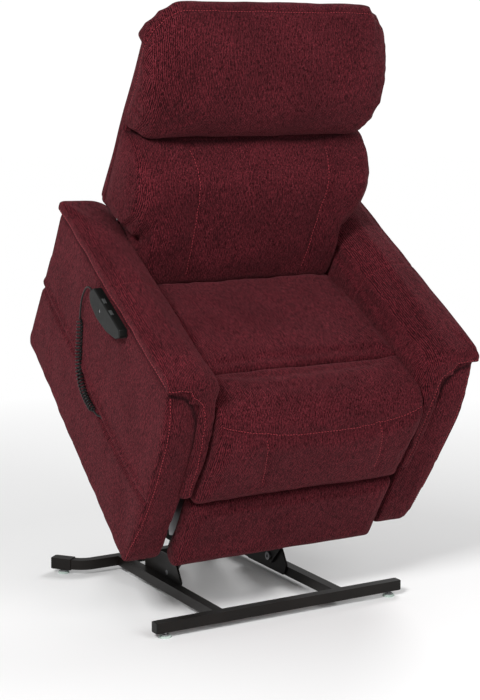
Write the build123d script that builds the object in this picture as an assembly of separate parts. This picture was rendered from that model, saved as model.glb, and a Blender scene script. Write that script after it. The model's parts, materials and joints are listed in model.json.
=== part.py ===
from build123d import *
import os
from math import atan2, cos, degrees, hypot, radians, sin, tan

# Power lift recliner chair, raised to its standing-assist position. Millimetres, +Z up.
# The sitter faces -Y, and the sitter's right hand is at -X.
# Origin: on the floor, on the chair's symmetry plane, in the middle of its depth.
# Base parts are drawn with y = 0 at the front bar's front face. Chair parts are drawn
# level, as when seated: y runs rearward and z up from the lower front corner of the
# arms, and on_chair() then tilts them to the raised position.

# ---- driving dimensions ----
DEPTH_MID = 191.0                  # middle of the depth, from the front bar's front face
TILT = 32.0                        # forward tilt of the raised chair
CORNER = (63.0, 160.0)             # raised place of the arms' lower front corner (y, z)

TUBE = 24.0                        # square tube of the base
TUBE_WALL = 1.8
TUBE_TOP = 38.0                    # top of the base tubes above the floor
FRONT_BAR = 646.0
RAIL_X = 160.0                     # side rails, centre
REAR_BAR_Y = 529.0                 # rear bar, centre line
REAR_BEND_X = 263.0                # corner of the rear bar's centre line
REAR_BEND_R = 60.0
REAR_BEND_ANGLE = 50.0
SLEEVE = 28.0
SLEEVE_LENGTH = 50.0
FOOT_R = 13.5
FOOT_INSET = 24.0                  # front feet, from the bar's ends

FRONT_PIVOT = (298.0, 50.0)        # front link on the base
REAR_PIVOT = (520.0, 81.0)         # rear link on the base
FRONT_JOINT = (92.0, 16.8)         # front link on the chair
REAR_JOINT = (190.2, 16.8)         # rear link on the chair
LINK_T = 6.0
LINK_W = 36.0
TIE_R = 13.0                       # tie tube between the rear links
TIE_SHARE = 0.8                    # its place along the link, from the base
TIE_DROP = 20.0                    # its distance below the link's centre line
PIN_R = 6.0
RUNNING = 0.05                     # radial running clearance of a pin in its eye
FREE_HOLE_R = 12.5                 # free hole around the rear link's upper pin

# layers along x, from the inner side out
REAR_LINK_X = 122.5
PLATE_X = 129.5
FRONT_LINK_X = 136.5
BRACKET_X = 143.0

ARM_LENGTH = 650.0
ARM_TOP = 499.0                    # underside of the arm cap
ARM_REAR_RISE = 104.0              # height of the arm's lower edge at the rear
ARM_IN_TOP, ARM_IN_LOW = 262.0, 283.0
ARM_OUT_TOP, ARM_OUT_LOW = 389.0, 377.0
CAP_TOP = 530.0
CAP_IN, CAP_OUT = 258.0, 398.0
CAP_FRONT = -8.0
CAP_LIP = 474.0                    # lower edge of the cap's front lip

FRAME_HALF = 278.0                 # cross rails reach the arms' inner faces
BOX_IN, BOX_OUT = 236.0, 252.0     # seat box sides
SEAT_HALF = 257.0
LEG_HALF = 252.0
LEG_ARM_X = 255.5                  # legrest swing arms, inner face
LEG_BRACKET_X = 260.5              # legrest hinge brackets, inner face
LEG_HINGE = (30.0, 335.0)
BACK_HINGE = (611.0, 340.0)
UPRIGHT_X = 200.0                  # back frame uprights, inner face
UPRIGHT = 22.0
BACK_REAR = 640.0                  # outside face of the back
BACK_LOW_HALF, BACK_HIGH_HALF = 245.0, 302.0

LIFT_FOOT = (510.0, 55.0)          # lift motor's pin on the base
LIFT_HEAD = (180.0, 275.0)         # lift rod's tube on the chair
LEG_FOOT = (530.0, 120.0)
LEG_HEAD = (72.0, 283.0)
BACK_FOOT = (110.0, 125.0)
BACK_HEAD = (611.0, 235.0)
SIDE_MOTOR_X = 75.0                # legrest motor at +x, back motor at -x
HOUSING_R, HOUSING_BORE = 25.0, 22.0
ROD_R = 9.0
MOTOR_PIN_R = 5.0

HANDSET_IN, HANDSET_OUT = -391.0, -410.0
GROMMET = (240.0, 233.0)           # where the handset's cord enters the side panel
CORD_R = 2.0
COIL_R = 8.0

os.makedirs("parts", exist_ok=True)


# ---- helpers ----
def save(name, *shapes):
    """Write one node, as one solid or as a group of separate solids."""
    flat = [s for shape in shapes for s in shape.solids()]
    export_step(flat[0] if len(flat) == 1 else Compound(children=flat), f"parts/{name}.step")


def on_base(shape):
    return Pos(0, -DEPTH_MID, 0) * shape


def on_chair(shape):
    return Pos(0, CORNER[0] - DEPTH_MID, CORNER[1]) * Rot(TILT, 0, 0) * shape


def both(shape):
    """A part at +x and its mirror image at -x."""
    return [shape, mirror(shape, about=Plane.YZ)]


def raised(point):
    """Place of a seated (y, z) point of the chair, in base coordinates."""
    c, s = cos(radians(TILT)), sin(radians(TILT))
    return (CORNER[0] + c * point[0] - s * point[1], CORNER[1] + s * point[0] + c * point[1])


def prism(points, x0, x1, corner=0.0):
    """A (y, z) outline between two x values, its outline corners rounded."""
    sketch = Polygon(*points, align=None)
    if corner:
        sketch = fillet(sketch.vertices(), corner)
    return extrude(Plane.YZ.offset(min(x0, x1)) * sketch, amount=abs(x1 - x0), dir=(1, 0, 0))


def bar(x0, x1, y0, y1, z0, z1):
    """A block between opposite corners."""
    centre = Pos((x0 + x1) / 2, (y0 + y1) / 2, (z0 + z1) / 2)
    return centre * Box(abs(x1 - x0), abs(y1 - y0), abs(z1 - z0))


def tube(x, y, z, axis, wall=TUBE_WALL):
    """A square tube between pairs of x, y and z values, open along its axis."""
    inner = [[low + wall, high - wall] for low, high in (x, y, z)]
    inner["xyz".index(axis)] = [x, y, z]["xyz".index(axis)]
    return bar(*x, *y, *z) - bar(*inner[0], *inner[1], *inner[2])


def rod(at, x0, x1, r):
    """A round bar along x at a (y, z) point."""
    return Pos((x0 + x1) / 2, at[0], at[1]) * Rot(0, 90, 0) * Cylinder(r, abs(x1 - x0))


def pipe(at, x0, x1, r, wall):
    return rod(at, x0, x1, r) - rod(at, x0, x1, r - wall)


def link(a, b, x0, thick, width, bore_a, bore_b):
    """A flat round-ended link between two (y, z) points."""
    length = hypot(b[0] - a[0], b[1] - a[1])
    angle = degrees(atan2(b[1] - a[1], b[0] - a[0]))
    middle = Pos((a[0] + b[0]) / 2, (a[1] + b[1]) / 2)
    outline = Plane.YZ.offset(x0) * middle * Rot(0, 0, angle) * SlotCenterToCenter(length, width)
    body = extrude(outline, amount=thick)
    return body - rod(a, x0 - 1, x0 + thick + 1, bore_a) - rod(b, x0 - 1, x0 + thick + 1, bore_b)


def headed_pin(at, x0, x1, r, head_r, head):
    """A pin along x, from x0 to a button head beyond x1 with a hex socket."""
    outer = x1 + head if x1 > x0 else x1 - head
    socket = extrude(RegularPolygon(head_r * 0.45, 6), amount=head * 0.6, both=True)
    return rod(at, x0, x1, r) + rod(at, x1, outer, head_r) - Pos(outer, *at) * Rot(0, 90, 0) * socket


# ---- base: floor frame ----
def rear_bar_end():
    """End of the rear bar's centre line at +x."""
    turn = radians(REAR_BEND_ANGLE)
    run = REAR_BEND_R * tan(turn / 2) + SLEEVE_LENGTH
    return (REAR_BEND_X + run * cos(turn), REAR_BAR_Y + run * sin(turn))


def floor_frame():
    half, low, middle = FRONT_BAR / 2, TUBE_TOP - TUBE, TUBE_TOP - TUBE / 2
    save("front_bar", on_base(tube((-half, half), (0, TUBE), (low, TUBE_TOP), "x")))
    rail_x = (RAIL_X - TUBE / 2, RAIL_X + TUBE / 2)
    rail = tube(rail_x, (TUBE, REAR_BAR_Y - TUBE / 2), (low, TUBE_TOP), "y")
    save("base_rails", *[on_base(s) for s in both(rail)])

    end = rear_bar_end()
    path = FilletPolyline((-end[0], end[1], middle), (-REAR_BEND_X, REAR_BAR_Y, middle),
                          (REAR_BEND_X, REAR_BAR_Y, middle), (end[0], end[1], middle),
                          radius=REAR_BEND_R)
    start = Plane(origin=path @ 0, z_dir=path % 0, x_dir=(0, 0, 1))
    inside = TUBE - 2 * TUBE_WALL
    outer = sweep(start * Rectangle(TUBE, TUBE), path)
    save("rear_bar", on_base(outer - sweep(start * Rectangle(inside, inside), path)))

    sleeve = Box(SLEEVE_LENGTH, SLEEVE, SLEEVE) - Box(SLEEVE_LENGTH, TUBE + 0.1, TUBE + 0.1)
    cap = fillet(Box(3, SLEEVE, SLEEVE).edges().filter_by(Axis.X), 2)
    mouth = Pos(*end, middle) * Rot(0, 0, REAR_BEND_ANGLE)
    save("rear_sleeves", *[on_base(s) for s in both(mouth * Pos(-SLEEVE_LENGTH / 2, 0, 0) * sleeve)])
    front_cap = fillet(bar(half, half + 3, 0, TUBE, low, TUBE_TOP).edges().filter_by(Axis.X), 2)
    core = bar(half - 14, half, TUBE_WALL, TUBE - TUBE_WALL, low + TUBE_WALL, TUBE_TOP - TUBE_WALL)
    plugs = both(mouth * Pos(1.5, 0, 0) * cap) + both(front_cap + core)
    save("end_plugs", *[on_base(p) for p in plugs])


def glide_feet():
    pad = chamfer(Cylinder(FOOT_R, 5).edges().sort_by(Axis.Z)[-1], 1.2)
    end, back = rear_bar_end(), SLEEVE_LENGTH / 2
    turn = radians(REAR_BEND_ANGLE)
    places = [(FRONT_BAR / 2 - FOOT_INSET, TUBE / 2, TUBE_TOP - TUBE),
              (end[0] - back * cos(turn), end[1] - back * sin(turn), TUBE_TOP - TUBE / 2 - SLEEVE / 2)]
    pads, studs = [], []
    for x, y, top in places:
        pads += both(Pos(x, y, 2.5) * pad)
        stud = Pos(0, 0, 6.5) * Cylinder(9, 3) + Pos(0, 0, (8 + top) / 2) * Cylinder(4, top - 8)
        studs += both(Pos(x, y, 0) * stud)
    save("glide_pads", *[on_base(p) for p in pads])
    save("glide_studs", *[on_base(s) for s in studs])


# ---- base: pivot brackets ----
def base_brackets():
    low = TUBE_TOP - TUBE + 1
    outline = [(238, low), (226, 42), (246, 74), (262, 94), (330, 94), (414, 62), (414, low)]
    plates = both(prism(outline, BRACKET_X, BRACKET_X + 5, 5) - rod(FRONT_PIVOT, 140, 150, PIN_R))
    pins = both(headed_pin(FRONT_PIVOT, BRACKET_X + 5, FRONT_LINK_X - 0.5, PIN_R, 10, 4.5))

    y0 = REAR_BAR_Y - TUBE / 2
    outline = [(y0, TUBE_TOP), (y0 - 16, 70), (y0 - 14, 98), (y0 + 20, 98), (y0 + TUBE, TUBE_TOP)]
    plates += both(prism(outline, PLATE_X, PLATE_X + LINK_T, 4) - rod(REAR_PIVOT, 128, 137, PIN_R))
    save("link_brackets", *[on_base(p) for p in plates])
    pins += both(headed_pin(REAR_PIVOT, PLATE_X + LINK_T, REAR_LINK_X - 0.5, PIN_R, 10, 4))
    pins.append(headed_pin(LIFT_FOOT, -23, 23, MOTOR_PIN_R, 8, 4))
    save("base_pins", *[on_base(p) for p in pins])

    outline = [(y0 + 2, TUBE_TOP), (y0 - 17, 44), (y0 - 17, 66), (y0 + 2, 66), (y0 + 18, TUBE_TOP)]
    ear = prism(outline, 18, 23, 3) - rod(LIFT_FOOT, 17, 24, MOTOR_PIN_R)
    foot = bar(-23, 23, y0 + 2, y0 + 18, TUBE_TOP, TUBE_TOP + 3)
    ears = both(ear)
    save("lift_motor_bracket", on_base(ears[0] + ears[1] + foot))


# ---- lift links ----
def lift_links():
    front_top, rear_top = raised(FRONT_JOINT), raised(REAR_JOINT)
    eye = PIN_R + RUNNING
    front = link(FRONT_PIVOT, front_top, FRONT_LINK_X, LINK_T, LINK_W, eye, eye)
    save("front_links", *[on_base(s) for s in both(front)])

    run = (rear_top[0] - REAR_PIVOT[0], rear_top[1] - REAR_PIVOT[1])
    length = hypot(*run)
    tie = (REAR_PIVOT[0] + TIE_SHARE * run[0] - TIE_DROP * run[1] / length,
           REAR_PIVOT[1] + TIE_SHARE * run[1] + TIE_DROP * run[0] / length)
    rear = link(REAR_PIVOT, rear_top, REAR_LINK_X, LINK_T, LINK_W, eye, PIN_R)
    rear = rear + rod(tie, REAR_LINK_X, REAR_LINK_X + LINK_T, TIE_R + 3)
    save("rear_links", *[on_base(s) for s in both(rear)])
    save("rear_link_tie_tube", on_base(pipe(tie, -REAR_LINK_X, REAR_LINK_X, TIE_R, 2)))
    pin = headed_pin(rear_top, PLATE_X + LINK_T, REAR_LINK_X, PIN_R, 10, 3)
    save("rear_chair_pins", *[on_base(s) for s in both(pin)])


# ---- chair: steel frame and seat box ----
def chair_frame():
    outline = [(64, 0), (74, -5), (205, -5), (216, 4), (216, 60), (56, 60), (56, 12)]
    plate = prism(outline, PLATE_X, PLATE_X + LINK_T, 3)
    plate = plate - rod(FRONT_JOINT, 128, 137, PIN_R) - rod(REAR_JOINT, 128, 137, FREE_HOLE_R)
    save("carriage_plates", *[on_chair(s) for s in both(plate)])
    pin = headed_pin(FRONT_JOINT, PLATE_X, FRONT_LINK_X + LINK_T + 0.5, PIN_R, 9.5, 3.5)
    save("front_chair_pins", *[on_chair(s) for s in both(pin)])

    middle = PLATE_X + LINK_T / 2
    rail = tube((middle - 12.5, middle + 12.5), (45, 600), (60, 85), "y")
    span = (-FRAME_HALF, FRAME_HALF)
    rails = both(rail) + [tube(span, (y, y + 25), (85, 110), "x") for y in (60, 560)]
    save("lift_frame_rails", *[on_chair(r) for r in rails])

    side_panel = bar(BOX_IN, BOX_OUT, 86, 600, 110, 300)
    side_panel -= fillet(bar(230, 260, 260, 390, 165, 230).edges().filter_by(Axis.X), 30)
    # the front rail stands on a flat sill, in two lengths that leave a gap for the legrest's push rod
    sill = bar(-BOX_IN, BOX_IN, 86, 106, 216, 223)
    front_lengths = [bar(-BOX_IN, SIDE_MOTOR_X - 20, 86, 106, 223, 300),
                     bar(SIDE_MOTOR_X + 20, BOX_IN, 86, 106, 223, 300)]
    rear_rail = bar(-BOX_IN, BOX_IN, 486, 506, 274, 300)
    boards = both(side_panel) + [sill, rear_rail] + front_lengths
    save("seat_box", *[on_chair(b) for b in boards])
    save("lift_head_tube", on_chair(pipe(LIFT_HEAD, -BOX_IN, BOX_IN, 12, 2.5)))

    box = fillet(bar(-210, -150, 420, 540, 110, 152).edges(), 4)
    save("power_box", on_chair(box - bar(-192, -168, 528, 541, 122, 140)))


def seat_springs():
    """Five sinuous wire springs between the seat box's front and rear rails."""
    wire, swing, turns, height = 1.9, 22.0, 14, 302.5
    first, last = 106.5, 485.5
    pitch = (last - first - 20) / turns
    springs = []
    for x in (-170, -85, 0, 85, 170):
        points = [(x, first, height)]
        for i in range(turns):
            side = swing if i % 2 else -swing
            y = first + 10 + i * pitch
            points += [(x + side, y + 0.18 * pitch, height), (x + side, y + 0.82 * pitch, height)]
        points.append((x, last, height))
        path = FilletPolyline(*points, radius=5)
        profile = Plane(origin=path @ 0, z_dir=path % 0) * Circle(wire)
        springs.append(sweep(profile, path))
    save("seat_springs", *[on_chair(s) for s in springs])


# ---- chair: upholstered arms and seat ----
def arms():
    outline = [(-4, 0), (4, 0), (ARM_LENGTH - 3, ARM_REAR_RISE), (ARM_LENGTH, ARM_REAR_RISE + 6),
               (ARM_LENGTH, ARM_TOP), (-4, ARM_TOP)]
    section = Polygon((ARM_IN_LOW, -10), (ARM_OUT_LOW, -10), (ARM_OUT_TOP, ARM_TOP),
                      (ARM_IN_TOP, ARM_TOP), align=None)
    wedge = Pos(0, ARM_LENGTH + 10, 0) * extrude(Plane.XZ * section, amount=ARM_LENGTH + 30, dir=(0, -1, 0))
    arm = prism(outline, 240, 400) & wedge
    upright = arm.edges().filter_by(lambda e: e.bounding_box().max.Y < 0 and e.length > 400)
    arm = fillet(upright, 14)
    for side, shape in zip(("left", "right"), both(arm)):
        save(f"arm_{side}", on_chair(shape))

    outline = [(CAP_FRONT, CAP_LIP), (-4.3, CAP_LIP), (-4.3, ARM_TOP), (ARM_LENGTH + 2, ARM_TOP),
               (ARM_LENGTH + 2, CAP_TOP), (CAP_FRONT, CAP_TOP)]
    cap = prism(outline, CAP_IN, CAP_OUT)
    cap = fillet(cap.edges().filter_by(lambda e: e.bounding_box().min.Z > CAP_TOP - 0.5), 12)
    for side, shape in zip(("left", "right"), both(cap)):
        save(f"arm_cap_{side}", on_chair(shape))


def seat():
    cushion = prism([(120, 318), (470, 308), (470, 392), (432, 424), (300, 448), (120, 451)],
                    -SEAT_HALF, SEAT_HALF, 10)
    save("seat_cushion", on_chair(cushion))
    roll = prism([(-18, 386), (-18, 438), (8, 451), (118, 451), (118, 318), (92, 318), (92, 386)],
                 -SEAT_HALF, SEAT_HALF, 6)
    save("seat_front_roll", on_chair(roll))


# ---- legrest ----
def legrest():
    pad = prism([(-18, 184), (55, 184), (55, 354), (46, 372), (30, 381), (8, 376), (-8, 361), (-18, 340)],
                -LEG_HALF, LEG_HALF, 4)
    save("leg_pad", on_chair(pad))
    board = prism([(-23, 15), (-13, 6), (18, 6), (28, 15), (28, 182), (-20, 182)],
                  -LEG_HALF, LEG_HALF, 3)
    save("footrest_board", on_chair(board))

    outline = [(16, 340), (24, 349), (36, 349), (84, 292), (84, 274), (70, 268), (44, 262),
               (44, 60), (32, 44), (16, 60)]
    arm = prism(outline, LEG_ARM_X, LEG_ARM_X + 4, 3)
    arm = arm - rod(LEG_HINGE, 250, 270, MOTOR_PIN_R + RUNNING)
    save("legrest_arms", *[on_chair(s) for s in both(arm)])
    tubes = [pipe(LEG_HEAD, -LEG_ARM_X, LEG_ARM_X, 9, 2), pipe((36.5, 90), -LEG_ARM_X, LEG_ARM_X, 8, 2)]
    save("legrest_tubes", *[on_chair(t) for t in tubes])

    outline = [(16, 322), (16, 344), (24, 351), (38, 351), (128, 298), (128, 262), (80, 262)]
    bracket = prism(outline, LEG_BRACKET_X, LEG_BRACKET_X + 4, 4)
    bracket = bracket + bar(BOX_OUT, LEG_BRACKET_X, 92, 124, 266, 294)
    bracket = bracket - rod(LEG_HINGE, 250, 270, MOTOR_PIN_R)
    save("legrest_hinge_brackets", *[on_chair(s) for s in both(bracket)])
    pin = headed_pin(LEG_HINGE, LEG_BRACKET_X + 4, LEG_ARM_X - 0.4, MOTOR_PIN_R, 8, 2.2)
    save("legrest_hinge_pins", *[on_chair(s) for s in both(pin)])


# ---- back ----
def back():
    x1, y0 = UPRIGHT_X + UPRIGHT, BACK_HINGE[0] - UPRIGHT / 2
    upright = tube((UPRIGHT_X, x1), (y0, y0 + UPRIGHT), (215, 960), "z")
    upright = upright - rod(BACK_HINGE, UPRIGHT_X - 1, x1 + 1, PIN_R + RUNNING)
    save("back_uprights", *[on_chair(s) for s in both(upright)])
    bars = [bar(-UPRIGHT_X, UPRIGHT_X, y0 + 3, y0 + UPRIGHT - 3, z, z + 30) for z in (420, 640, 900)]
    bars.append(pipe(BACK_HEAD, -UPRIGHT_X, UPRIGHT_X, 9, 2))
    save("back_cross_bars", *[on_chair(b) for b in bars])

    outline = [(570, 262), (594, 262), (609, 320), (620, 333), (621, 344), (611, 352), (597, 347)]
    plate = prism(outline, x1 + 2, BOX_IN, 3) - rod(BACK_HINGE, x1, BOX_IN + 1, PIN_R)
    save("back_hinge_brackets", *[on_chair(s) for s in both(plate)])
    pin = headed_pin(BACK_HINGE, BOX_IN, UPRIGHT_X - 0.5, PIN_R, 10, 4)
    save("back_hinge_pins", *[on_chair(s) for s in both(pin)])

    low, high = BACK_LOW_HALF, BACK_HIGH_HALF
    lumbar = prism([(436, 430), (470, 402), (597, 402), (597, 746), (562, 746), (520, 722),
                    (464, 626), (432, 500)], -low, low, 8)
    wing = prism([(486, 600), (520, 560), (552, 546), (597, 546), (597, 746), (562, 746), (520, 722),
                  (470, 636)], -high, high, 8)
    save("lumbar_cushion", on_chair(lumbar + wing))
    pillow = prism([(566, 750), (530, 796), (534, 870), (556, 960), (586, 1022), (616, 1044),
                    (638, 1044), (650, 1022), (650, 990), (597, 990), (597, 750)], -high, high, 5)
    save("head_pillow", on_chair(pillow))
    shell = Polygon((-low, 335), (low, 335), (low, 530), (high, 560), (high, 986), (-high, 986),
                    (-high, 560), (-low, 530), align=None)
    shell = Pos(0, BACK_REAR, 0) * extrude(Plane.XZ * fillet(shell.vertices(), 12), amount=14, dir=(0, -1, 0))
    save("back_shell", on_chair(shell))


# ---- linear drives ----
def drive(name, foot, head, x, motor_side, housing_length, rod_length, eye_r, put_foot, put_head):
    """A linear drive from its foot pin to its head tube: motor housing and push rod."""
    length = hypot(head[0] - foot[0], head[1] - foot[1])
    angle = degrees(atan2(head[1] - foot[1], head[0] - foot[0]))
    along = Pos(x, *foot) * Rot(angle, 0, 0)            # local y runs from foot to head
    eye = Rot(0, 90, 0) * Cylinder(12, 28) + bar(-10, 10, 0, 34, -11, 11)
    gear = fillet(bar(-24, 24, 30, 100, -26, 26).edges().filter_by(Axis.Y), 8)
    barrel = Cylinder(HOUSING_R, housing_length - 100)
    barrel -= Pos(0, 0, -6) * Cylinder(HOUSING_BORE, housing_length - 100)
    barrel = Pos(0, (100 + housing_length) / 2, 0) * Rot(90, 0, 0) * barrel
    can = Pos(motor_side * 44, 105, 0) * Rot(90, 0, 0) * fillet(Cylinder(21, 120).edges(), 4)
    bridge = bar(motor_side * 20, motor_side * 44, 50, 92, -14, 14)
    body = eye + gear + barrel + can + bridge - Rot(0, 90, 0) * Cylinder(MOTOR_PIN_R + RUNNING, 60)
    save(f"{name}_motor", put_foot(along * body))

    fork = Pos(0, length, 0) * Rot(0, 90, 0) * Cylinder(eye_r + 6, 26)
    shank = Pos(0, length - rod_length / 2, 0) * Rot(90, 0, 0) * Cylinder(ROD_R, rod_length)
    hole = Pos(0, length, 0) * Rot(0, 90, 0) * Cylinder(eye_r + RUNNING, 40)
    save(f"{name}_rod", put_head(along * (shank + fork - hole)))


def drives():
    drive("lift", LIFT_FOOT, raised(LIFT_HEAD), 0, -1, 420, 290, 12, on_base, on_base)
    drive("legrest", LEG_FOOT, LEG_HEAD, SIDE_MOTOR_X, 1, 300, 360, 9, on_chair, on_chair)
    drive("back", BACK_FOOT, BACK_HEAD, -SIDE_MOTOR_X, -1, 400, 320, 9, on_chair, on_chair)

    leg_ear = [(559.5, 88), (559.5, 112), (540, 132), (520, 128), (520, 110)]
    back_ear = [(85.5, 88), (85.5, 112), (100, 136), (120, 134), (120, 114)]
    ears, pins = [], []
    for foot, x, outline in ((LEG_FOOT, SIDE_MOTOR_X, leg_ear), (BACK_FOOT, -SIDE_MOTOR_X, back_ear)):
        ear = prism(outline, 16, 20, 3) - rod(foot, 15, 21, MOTOR_PIN_R)
        ears += [Pos(x, 0, 0) * e for e in both(ear)]
        pins.append(Pos(x, 0, 0) * headed_pin(foot, -20, 20, MOTOR_PIN_R, 8, 4))
    save("chair_motor_brackets", *[on_chair(e) for e in ears])
    save("chair_motor_pins", *[on_chair(p) for p in pins])


# ---- handset and its cord ----
def handset():
    outline = [(388, 456), (392, 470), (378, 488), (232, 490), (222, 477), (238, 460), (283, 444),
               (334, 438), (374, 445)]
    shape = prism(outline, HANDSET_OUT, HANDSET_IN, 5)
    seam = HANDSET_IN - 7
    rear = shape & bar(seam, HANDSET_IN, 200, 420, 420, 500)
    front = shape & bar(HANDSET_OUT, seam - 0.2, 200, 420, 420, 500)
    outer = front.edges().filter_by(lambda e: e.bounding_box().max.X < HANDSET_OUT + 0.1)
    front = fillet(outer, 3)
    front = front - Pos(HANDSET_OUT, 330, 462) * Rot(0, 90, 0) * Cylinder(4.5, 4)
    keys = {"raise": 330.0, "lower": 290.0}
    middle = (HANDSET_OUT + seam) / 2
    for y in keys.values():
        front = front - Pos(middle, y, 488) * Box(7.4, 15.4, 6)
    save("handset_front_shell", on_chair(front))
    save("handset_rear_shell", on_chair(rear))
    save("handset_screw", on_chair(Pos(HANDSET_OUT + 1.4, 330, 462) * Rot(0, 90, 0) * Cylinder(3.6, 1.2)))
    for name, y in keys.items():
        key = fillet(Box(7, 15, 4.5).edges().sort_by(Axis.Z)[-4:], 1)
        save(f"handset_{name}_key", on_chair(Pos(middle, y, 489.2) * key))
    save("handset_clip", on_chair(bar(HANDSET_IN + 0.2, HANDSET_IN + 1.6, 260, 340, 448, 484)))


def cord_path(points):
    """Straight runs and tangent arcs; each arc as large as its shorter run allows."""
    runs = [Vector(*b) - Vector(*a) for a, b in zip(points, points[1:])]
    radii = []
    for before, after in zip(runs, runs[1:]):
        half_turn = radians(before.get_angle(after)) / 2
        radii.append(0.45 * min(before.length, after.length) / tan(half_turn))
    print("cord radii", [round(r, 1) for r in radii])
    return FilletPolyline(*points, radius=radii)


def cord_tube(name, points, r):
    path = cord_path(points)
    shape = sweep(Plane(origin=path @ 0, z_dir=path % 0) * Circle(r), path)
    print(name, "length", round(path.length, 1), "volume ratio",
          round(shape.volume / (path.length * 3.14159265 * r * r), 4))
    save(name, on_base(shape))


def handset_cord():
    """Thin lead, curly part and thin end of the cord, hanging straight down from the handset."""
    top, low = (-395, 232, 696), (-391.5, 172, 491)
    lead = [(-400, 157, 766), (-400, 170, 772), (-400, 185, 768.5), (-399, 199, 758),
            (-398, 211, 744), (-397, 221, 727.5), (-395.8, 228, 710.5), top]
    coil = [top, (-394.4, 235.5, 668), (-394, 240, 638), (-393.6, 246.5, 603), (-393, 247, 568),
            (-392.4, 233, 535), (-392, 206, 508), low]
    tail = [low, (-391, 157.5, 484.8), (-389, 148.5, 483.5), (-386.2, 143, 484.8)]
    cord_tube("cord_lead", lead, CORD_R)
    cord_tube("cord_coil", coil, COIL_R)
    cord_tube("cord_tail", tail, CORD_R)
    nose = Pos(-400, 391, 464) * Rot(-90, 0, 0) * Cone(4.5, 3, 10, align=(Align.CENTER, Align.CENTER, Align.MIN))
    save("cord_gland", on_chair(nose))
    ring = Pos(-384.6, *GROMMET) * Rot(0, 90, 0) * (Cylinder(7, 3.2) - Pos(0, 0, -3) * Cylinder(2.5, 3.2))
    save("cord_grommet", on_chair(ring))


floor_frame()
glide_feet()
base_brackets()
lift_links()
chair_frame()
seat_springs()
arms()
seat()
legrest()
back()
drives()
handset()
handset_cord()
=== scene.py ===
import bpy
import bmesh
import json
import numpy as np
from math import atan2, cos, pi, radians, sin
from mathutils import Matrix, Vector, noise
from mathutils.bvhtree import BVHTree


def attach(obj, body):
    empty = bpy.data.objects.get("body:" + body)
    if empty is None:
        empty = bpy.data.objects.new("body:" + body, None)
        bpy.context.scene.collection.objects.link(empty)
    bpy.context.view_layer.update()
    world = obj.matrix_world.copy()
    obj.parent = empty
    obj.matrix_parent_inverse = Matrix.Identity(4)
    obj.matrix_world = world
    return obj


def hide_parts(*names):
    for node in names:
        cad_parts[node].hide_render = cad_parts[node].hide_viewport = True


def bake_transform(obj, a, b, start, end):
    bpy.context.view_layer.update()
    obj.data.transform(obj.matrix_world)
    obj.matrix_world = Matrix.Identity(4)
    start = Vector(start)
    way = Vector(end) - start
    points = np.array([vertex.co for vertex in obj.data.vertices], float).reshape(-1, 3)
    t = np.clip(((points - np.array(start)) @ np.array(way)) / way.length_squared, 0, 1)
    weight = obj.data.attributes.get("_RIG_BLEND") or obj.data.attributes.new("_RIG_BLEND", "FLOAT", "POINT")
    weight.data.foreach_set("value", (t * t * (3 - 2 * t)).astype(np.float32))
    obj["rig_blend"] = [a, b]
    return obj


# A power lift recliner chair, raised to its standing-assist position, built round the packed
# CAD frame. Upholstery is drawn level, as when seated, in a chair frame of millimetres:
# x across, u rearward, w up from the arms' lower front corner. RAISED then tilts it.

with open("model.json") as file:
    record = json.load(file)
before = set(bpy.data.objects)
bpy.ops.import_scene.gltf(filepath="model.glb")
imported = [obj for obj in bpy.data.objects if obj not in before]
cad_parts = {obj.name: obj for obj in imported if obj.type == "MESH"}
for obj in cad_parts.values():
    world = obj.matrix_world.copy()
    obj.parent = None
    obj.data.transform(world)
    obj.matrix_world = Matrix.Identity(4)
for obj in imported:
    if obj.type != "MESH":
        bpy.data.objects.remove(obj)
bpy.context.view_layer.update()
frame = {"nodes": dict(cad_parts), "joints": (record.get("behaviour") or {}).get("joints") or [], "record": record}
nodes = frame["nodes"]
joints = {j["name"]: j for j in frame["joints"]}
scene = bpy.context.scene
MM = 0.001

LEG_HINGE, BACK_HINGE = Vector((0, 0.030, 0.335)), Vector((0, 0.611, 0.340))
leg_pivot = Vector(joints["legrest_swing"]["pos_m"])
back_pivot = Vector(joints["back_recline"]["pos_m"])


def slope(v):
    return atan2(v.z, v.y)


TILT = slope(back_pivot - leg_pivot) - slope(BACK_HINGE - LEG_HINGE)
RAISED = (Matrix.Translation((0, leg_pivot.y, leg_pivot.z)) @ Matrix.Rotation(TILT, 4, "X")
          @ Matrix.Translation(-LEG_HINGE))


def at(x, u, w):
    """A chair-frame point in millimetres, in the raised row frame in metres."""
    return RAISED @ (Vector((x, u, w)) * MM)


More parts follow.
